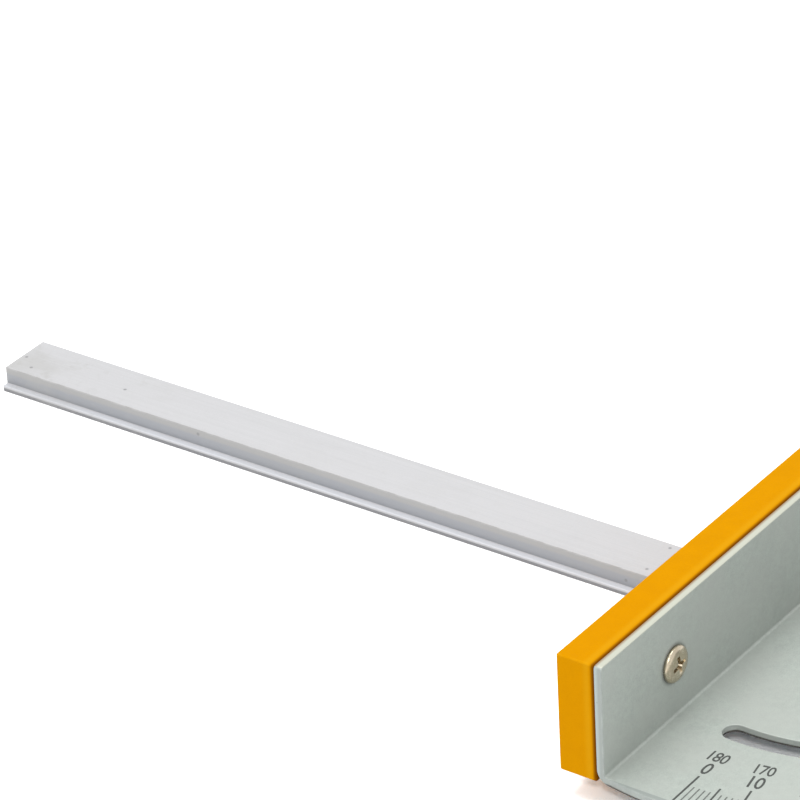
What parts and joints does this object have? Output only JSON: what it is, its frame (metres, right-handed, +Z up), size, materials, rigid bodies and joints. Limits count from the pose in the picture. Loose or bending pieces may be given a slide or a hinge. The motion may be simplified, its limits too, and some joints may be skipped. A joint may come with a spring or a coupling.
{
  "type": "mitre gauge",
  "caption": "Mitre gauge: a flat T-section guide bar under a swivelling half-round protractor head with an orange facing board and a locking knob.",
  "frame": {"origin": "on the pivot's axis, at the flat underside of the guide bar", "axes": "+Y along the bar towards its far tip, +X along the fence, +Z up through the pivot"},
  "size_m": [0.2152, 0.45, 0.0462],
  "materials": {
    "bar_aluminium": "mill-finish extruded aluminium, sawn ends",
    "bracket_sheet": "bent sheet, fine satin silver-grey coat with printed dark scale",
    "orange_board": "solid orange plastic, satin, lightly rounded edges",
    "nickel_screw": "nickel-plated steel",
    "zinc_steel": "bright zinc-plated steel",
    "nylon_ring": "pale nylon",
    "black_plastic": "moulded black plastic, fine matt texture",
    "black_cap": "smooth black plastic"
  },
  "bodies": {
    "bar": {"mitre_bar": "bar_aluminium", "pivot_bolt": "zinc_steel", "pivot_bush": "zinc_steel", "pivot_washer": "zinc_steel", "pivot_nut": "zinc_steel", "pivot_nut_ring": "nylon_ring", "pointer": "zinc_steel", "pointer_washer": "zinc_steel", "pointer_screw": "nickel_screw"},
    "head": {"protractor_bracket": "bracket_sheet", "fence_board": "orange_board", "fence_screw_left": "nickel_screw", "fence_screw_right": "nickel_screw"},
    "clamp": {"lock_washer": "zinc_steel"},
    "knob": {"knob_body": "black_plastic", "knob_cap": "black_cap", "knob_bolt": "zinc_steel"}
  },
  "joints": [
    {"name": "head_swivel", "type": "hinge", "parent": "bar", "child": "head", "pos_m": [0, 0, 0.0091], "axis": [0, 0, 1], "range_deg": [-90, 90]},
    {"name": "knob_lift", "type": "slide", "parent": "bar", "child": "clamp", "axis": [0, 0, 1], "range_m": [0, 0.0015]},
    {"name": "knob_turn", "type": "hinge", "parent": "clamp", "child": "knob", "pos_m": [0, -0.0682, 0.024], "axis": [0, 0, 1], "range_deg": [0, 540]}
  ],
  "couplings": [
    {"joint": "knob_turn", "follows": "knob_lift", "rad_per_m": 6283.2}
  ]
}
